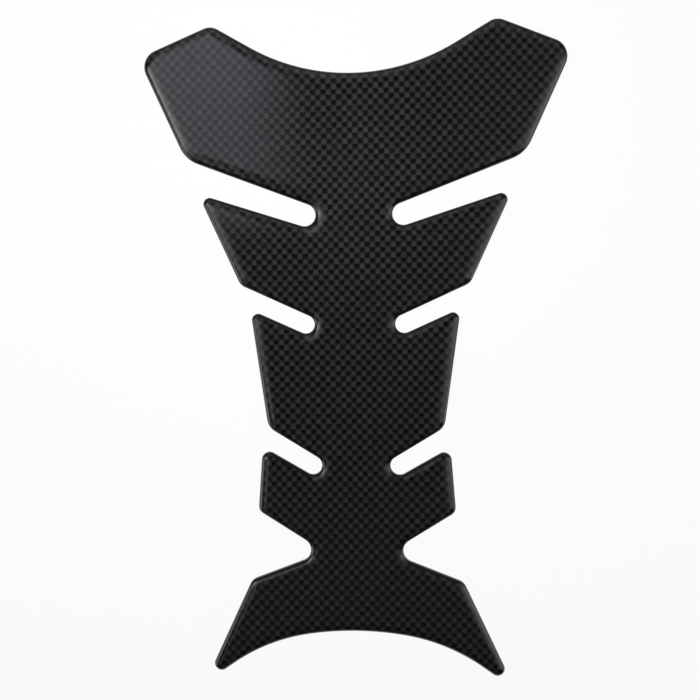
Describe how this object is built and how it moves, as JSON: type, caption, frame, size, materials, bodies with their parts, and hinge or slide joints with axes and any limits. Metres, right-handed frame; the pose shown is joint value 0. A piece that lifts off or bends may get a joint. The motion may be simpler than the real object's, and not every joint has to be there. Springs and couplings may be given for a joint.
{
  "type": "motorcycle tank pad",
  "caption": "Self-adhesive fishbone-shaped pad of clear domed resin over a carbon-weave print, which keeps a motorcycle's fuel tank from being scratched by the rider.",
  "frame": {"origin": "middle of the flat adhesive underside, at the centre of the pad's bounding box", "axes": "+Z out of the pad's domed face, +Y towards the ears (up the tank), +X to the right as seen from above; the pad is mirrored about the plane x = 0"},
  "size_m": [0.1368, 0.2146, 0.0026],
  "materials": {
    "domed_resin": "glossy clear resin over a black and grey plain-weave print"
  },
  "bodies": {
    "root": {"tank_pad": "domed_resin"}
  },
  "joints": []
}
